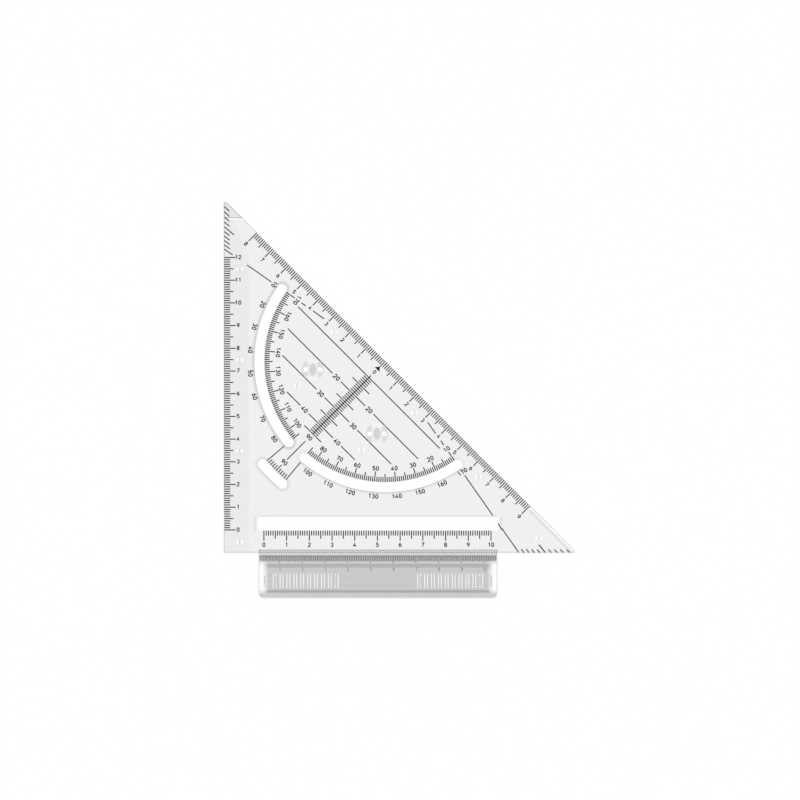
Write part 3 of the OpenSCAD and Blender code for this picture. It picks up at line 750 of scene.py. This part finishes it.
def rib_mask(tree, where, heights):
    """Share of the two groups of finger ribs, between two heights."""
    near, far, start, end = bpy.context.scene.triangle_plastic.rib_zone
    middle = sum(corner.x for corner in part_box("rail_guide")) / 2
    sides = [zone(tree, where["Object"], span(reach, (CORNER[1] + end, CORNER[1] + start), heights), SHARP)
             for reach in ((middle - far, middle - near), (middle + near, middle + far))]
    return calculated(tree, "MAXIMUM", *sides)


def guide_ground(tree, where, flat):
    """The guide's flat colour, with painted shade on the tops and valleys of the ribs, so that their sides
    stand out.
    """
    settings = bpy.context.scene.triangle_plastic
    return mixed(tree, rib_mask(tree, where, (settings.rib_base, FAR)), flat, settings.rib_ground)


def guide_frost(tree, where, roughness):
    """Roughness with the matt walls and ends of the tongue."""
    settings = bpy.context.scene.triangle_plastic
    start, end, low, high = settings.tongue_zone
    walls = span(y=(CORNER[1] + end, CORNER[1] + start), z=(low, high))
    return mapped(tree, zone(tree, where["Object"], walls, SHARP), 0.0, 1.0, roughness, settings.tongue_frost)


def guide_marks(tree, where, tint):
    """The guide's tint zones: clear parts underneath, dark scale strip, painted light and shade on ridge, lip
    and ends.
    """
    settings = bpy.context.scene.triangle_plastic
    low, high = (corner.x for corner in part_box("rail_guide"))
    edge = CORNER[1]
    depth, top = settings.jaw_zone
    over = (top, FAR)
    inset, width, start, end = settings.end_zone
    reach = (edge + end, edge + start)
    band_start, band_end, band_low, band_high = settings.band_zone
    wall_start, wall_end, wall_low, wall_high = settings.tongue_zone
    lip, outer = settings.lip_zone
    shade_start, shade_end, slope_start, slope_end = settings.ridge_zone
    lines = (settings.lip_lines[:2], settings.lip_lines[2:])
    tint = mixed(tree, rib_mask(tree, where, (-FAR, band_high)), tint, CLEAR)
    for box, steep, colour in (
            (span(y=(edge, edge + depth), z=(-FAR, top)), SHARP, CLEAR),
            (span(y=(edge + wall_end, edge + wall_start), z=(wall_low, wall_high)), SHARP, CLEAR),
            (span(y=(edge + band_end, edge + band_start), z=(band_low, band_high)), CRISP,
             settings.guide_band),
            # Painted shade in front of the ridge, and painted light on the top of its slope.
            (span(y=(edge + shade_end, edge + shade_start), z=over), FADED, settings.ridge_shade),
            (span(y=(edge + slope_end, edge + slope_start), z=(band_high, FAR)), MILD, settings.guide_tint),
            # Painted shade on the lip's and the outer chamfers, and painted highlight lines along the lip.
            (span(y=(edge + lip, FAR), z=over), SHARP, settings.guide_lip),
            (span(y=(-FAR, edge + outer)), SHARP, settings.guide_lip),
            *((span(y=(edge + near, edge + far), z=over), SHARP, settings.lip_light) for near, far in lines),
            # Painted light near the guide's two ends, and painted shade lines at its very ends.
            (span((low + inset, low + inset + width), reach), SOFT, CLEAR),
            (span((high - inset - width, high - inset), reach), SOFT, CLEAR),
            (span(x=(-FAR, low + inset / 2)), CRISP, settings.guide_rim),
            (span(x=(high - inset / 2, FAR)), CRISP, settings.guide_rim)):
        tint = mixed(tree, zone(tree, where["Object"], box, steep), tint, colour)
    return tint


def screen_print(body):
    """Screen print of a body: matt ink, black on the plate, grey and part clear on the guide, paler where
    thin.
    """
    settings = bpy.context.scene.triangle_print
    inks = {"plate": (settings.ink, settings.thin_ink, 1.0),
            "guide": (settings.guide_ink, settings.guide_thin_ink, settings.guide_cover)}
    thick, thin, opacity = inks[body]
    name = body + "_print"
    if name in bpy.data.materials:
        return bpy.data.materials[name]
    material = bpy.data.materials.new(name)
    tree = emptied(material)
    where = add(tree, "ShaderNodeTexCoord").outputs
    grain = add(tree, "ShaderNodeTexNoise", Vector=where["Object"], Scale=2500.0, Detail=3.0).outputs["Fac"]
    shader = add(tree, "ShaderNodeBsdfPrincipled", Base_Color=mixed(tree, grain, thick, thin),
                 Roughness=mapped(tree, grain, 0.0, 1.0, *INK_MATT), Specular_IOR_Level=0.2, Alpha=opacity)
    add(tree, "ShaderNodeOutputMaterial", Surface=shader.outputs["BSDF"])
    return material


def dress(node, material):
    """The material in every slot of a CAD node."""
    slots = frame["nodes"][node].data.materials
    if not slots:
        raise RuntimeError(node + " has no material slot")
    for i in range(len(slots)):
        slots[i] = material


def heading(angle):
    """Heading in radians of the protractor's ray at an angle in degrees from the long edge's upper half."""
    return math.radians(LONG_EDGE + angle)


def on_protractor(along, inward):
    """Place in the protractor's frame: along the long edge, down to the right, and inward across it."""
    zero = np.array(bpy.context.scene.triangle_print.protractor)
    return CORNER + zero + math.sqrt(0.5) * np.array([along - inward, -along - inward])


def on_ray(angle, radius):
    """Place at a radius on the protractor's ray at an angle in degrees, and the turn of print there."""
    turn = heading(angle)
    zero = np.array(bpy.context.scene.triangle_print.protractor)
    return CORNER + zero + radius * np.array([math.cos(turn), math.sin(turn)]), turn + math.pi / 2


class TRIANGLE_OT_clear_plate(bpy.types.Operator):
    """Give the triangle plate its clear plastic"""

    bl_idname = "triangle.clear_plate"
    bl_label = "Clear Plate"

    def execute(self, context):
        settings = context.scene.triangle_plastic
        # Flat tint, then the painted shade of the facet, the steep faces and the sloping ends.
        colours = (settings.plate_tint, settings.plate_facet, settings.plate_side, settings.plate_end)
        dress("triangle_plate", clear_plastic("clear_plate", colours, marks=plate_marks))
        return {"FINISHED"}


class TRIANGLE_OT_rail_guide(bpy.types.Operator):
    """Give the rail guide its slightly greyer clear plastic"""

    bl_idname = "triangle.rail_guide"
    bl_label = "Rail Guide"

    def execute(self, context):
        settings = context.scene.triangle_plastic
        # Flat tint for flat faces and facets, then painted light on the sides and painted shade on the
        # sloping ends.
        colours = (settings.guide_tint, settings.guide_tint, settings.guide_side, settings.guide_end)
        dress("rail_guide", clear_plastic("clear_guide", colours, guide_ground, guide_marks, guide_frost))
        return {"FINISHED"}


class TRIANGLE_OT_printed_lines(bpy.types.Operator):
    """Give every printed line of the CAD model its ink"""

    bl_idname = "triangle.printed_lines"
    bl_label = "Printed Lines"

    def execute(self, context):
        for node in PRINTED_NODES:
            dress(node, screen_print("guide" if node == "guide_scale" else "plate"))
        return {"FINISHED"}


class TRIANGLE_OT_edge_numerals(bpy.types.Operator):
    """Print the centimetre numerals of the left leg, the straight slot and the long edge"""

    bl_idname = "triangle.edge_numerals"
    bl_label = "Edge Numerals"

    def execute(self, context):
        sizes = context.scene.triangle_print
        printed_numbers("leg_numerals", "plate", sizes.edge_height,
                        [(k, CORNER + sizes.leg_zero + np.array([0, k * CM]), 0) for k in LEG_NUMBERS])
        printed_numbers("slot_numerals", "plate", sizes.edge_height,
                        [(k, CORNER + sizes.slot_zero + np.array([k * CM, 0]), 0) for k in SLOT_NUMBERS])
        printed_numbers("long_edge_numerals", "plate", sizes.long_edge_height,
                        [(abs(k), on_protractor(k * CM, sizes.long_edge_depth), SLANT)
                         for k in LONG_EDGE_NUMBERS])
        return {"FINISHED"}


class TRIANGLE_OT_degree_numerals(bpy.types.Operator):
    """Print the degree numerals round the arc slots"""

    bl_idname = "triangle.degree_numerals"
    bl_label = "Degree Numerals"

    def execute(self, context):
        sizes = context.scene.triangle_print
        printed_numbers("inner_degree_numerals", "plate", sizes.degree_height,
                        [(HALF_TURN - a, *on_ray(a, sizes.inner_radius)) for a in (*DEGREES, RIGHT_ANGLE)])
        printed_numbers("outer_degree_numerals", "plate", sizes.degree_height,
                        [*((a, *on_ray(a, sizes.outer_radius)) for a in DEGREES),
                         (RIGHT_ANGLE, *on_ray(RIGHT_ANGLE, sizes.right_angle_radius))])
        return {"FINISHED"}


class TRIANGLE_OT_line_numerals(bpy.types.Operator):
    """Print the millimetre numerals in the gaps of the parallel lines"""

    bl_idname = "triangle.line_numerals"
    bl_label = "Line Numerals"

    def execute(self, context):
        sizes = context.scene.triangle_print
        printed_numbers("line_numerals", "plate", sizes.line_height,
                        [(depth, on_protractor(side * sizes.line_side, depth * MM), SLANT)
                         for depth in LINE_NUMBERS for side in (-1, 1)])
        return {"FINISHED"}


class TRIANGLE_OT_guide_numerals(bpy.types.Operator):
    """Print the small centimetre numerals under the guide"""

    bl_idname = "triangle.guide_numerals"
    bl_label = "Guide Numerals"

    def execute(self, context):
        sizes = context.scene.triangle_print
        printed_numbers("guide_numerals", "guide", sizes.guide_height,
                        [(k, CORNER + sizes.guide_one + np.array([(k - 1) * CM, 0]), 0)
                         for k in GUIDE_NUMBERS])
        return {"FINISHED"}


def floor_material(settings):
    """White floor: diffuse, so that it keeps shadows, plus a glow for camera, glossy and transmitted rays."""
    material = bpy.data.materials.new("white_floor")
    material.cycles.emission_sampling = "NONE"
    tree = emptied(material)
    rays = add(tree, "ShaderNodeLightPath").outputs
    seen = calculated(tree, "MAXIMUM", rays["Is Camera Ray"], rays["Is Glossy Ray"])
    seen = calculated(tree, "MAXIMUM", seen, rays["Is Transmission Ray"])
    glow = calculated(tree, "MULTIPLY", seen, settings.floor_glow)
    white = settings.floor_white
    matt = add(tree, "ShaderNodeBsdfDiffuse", Color=(white, white, white, 1))
    light = add(tree, "ShaderNodeEmission", Strength=glow)
    both = tree.nodes.new("ShaderNodeAddShader")
    wired(tree, both, zip(both.inputs, (matt.outputs["BSDF"], light.outputs["Emission"])))
    add(tree, "ShaderNodeOutputMaterial", Surface=both.outputs["Shader"])
    return material


def studio_world():
    """Soft room light that falls from a pale ceiling to a dim horizon."""
    world = bpy.data.worlds.new("studio")
    tree = emptied(world)
    where = add(tree, "ShaderNodeTexCoord").outputs
    ramp = add(tree, "ShaderNodeValToRGB", Fac=split(tree, where["Generated"])["Z"])
    stops = ramp.color_ramp.elements
    while len(stops) < len(ROOM_LEVELS):
        stops.new(1.0)
    for stop, (height, level) in zip(stops, ROOM_LEVELS):
        stop.position = height
        stop.color = (level, level, level, 1)
    light = add(tree, "ShaderNodeBackground", Color=ramp.outputs["Color"])
    add(tree, "ShaderNodeOutputWorld", Surface=light.outputs["Background"])
    return world


class TRIANGLE_OT_stage(bpy.types.Operator):
    """Set up the white floor, the room light, two side lamps and the camera straight above"""

    bl_idname = "triangle.stage"
    bl_label = "Stage"

    def execute(self, context):
        scene = context.scene
        settings = scene.triangle_stage
        scene.view_settings.view_transform = "Standard"
        scene.world = studio_world()
        half = settings.floor_size / 2
        depth = CAD_BOX[0].z - FLOOR_GAP
        mesh = bpy.data.meshes.new("floor")
        corners = [(x * half, y * half, depth) for x, y in ((-1, -1), (1, -1), (1, 1), (-1, 1))]
        mesh.from_pydata(corners, [], [(0, 1, 2, 3)])
        mesh.materials.append(floor_material(settings))
        floor = bpy.data.objects.new("floor", mesh)
        scene.collection.objects.link(floor)
        for side, name in ((-1, "lamp_left"), (1, "lamp_right")):
            data = bpy.data.lights.new(name, "AREA")
            data.energy = settings.lamp_power
            data.size = settings.lamp_size
            lamp = bpy.data.objects.new(name, data)
            lamp.location = (side * settings.lamp_distance * math.sin(settings.lamp_tilt), 0,
                             settings.lamp_distance * math.cos(settings.lamp_tilt))
            lamp.rotation_euler = (0, side * settings.lamp_tilt, 0)
            lamp.visible_camera = False
            scene.collection.objects.link(lamp)
        data = bpy.data.cameras.new("camera")
        data.lens = data.sensor_width * settings.camera_height / settings.view_width
        camera = bpy.data.objects.new("camera", data)
        camera.location = (settings.view_shift, 0, settings.camera_height + PRINT_HEIGHTS["plate"][1])
        scene.collection.objects.link(camera)
        scene.camera = camera
        return {"FINISHED"}


class TRIANGLE_PT_panel(bpy.types.Panel):
    """Settings and build steps of the drafting triangle"""

    bl_idname = "TRIANGLE_PT_panel"
    bl_label = "Drafting Triangle"
    bl_space_type = "VIEW_3D"
    bl_region_type = "UI"
    bl_category = "Triangle"

    def draw(self, context):
        for name in SETTINGS:
            settings = getattr(context.scene, name)
            box = self.layout.box()
            for key in settings.__annotations__:
                box.prop(settings, key)
        for step in STEPS:
            self.layout.operator(step.bl_idname)


STEPS = (TRIANGLE_OT_clear_plate, TRIANGLE_OT_rail_guide, TRIANGLE_OT_printed_lines,
         TRIANGLE_OT_edge_numerals, TRIANGLE_OT_degree_numerals, TRIANGLE_OT_line_numerals,
         TRIANGLE_OT_guide_numerals, TRIANGLE_OT_stage)
SETTINGS = {"triangle_plastic": PlasticSettings, "triangle_print": PrintSettings,
            "triangle_stage": StageSettings}
CLASSES = (*SETTINGS.values(), *STEPS, TRIANGLE_PT_panel)


def register():
    for c in CLASSES:
        bpy.utils.register_class(c)
    for name, kind in SETTINGS.items():
        setattr(bpy.types.Scene, name, bpy.props.PointerProperty(type=kind))


def unregister():
    for name in SETTINGS:
        delattr(bpy.types.Scene, name)
    for c in reversed(CLASSES):
        bpy.utils.unregister_class(c)


def main():
    """Registers the add-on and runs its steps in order."""
    register()
    bpy.ops.triangle.clear_plate()
    bpy.ops.triangle.rail_guide()
    bpy.ops.triangle.printed_lines()
    bpy.ops.triangle.edge_numerals()
    bpy.ops.triangle.degree_numerals()
    bpy.ops.triangle.line_numerals()
    bpy.ops.triangle.guide_numerals()
    bpy.ops.triangle.stage()


if __name__ == "__main__":
    main()
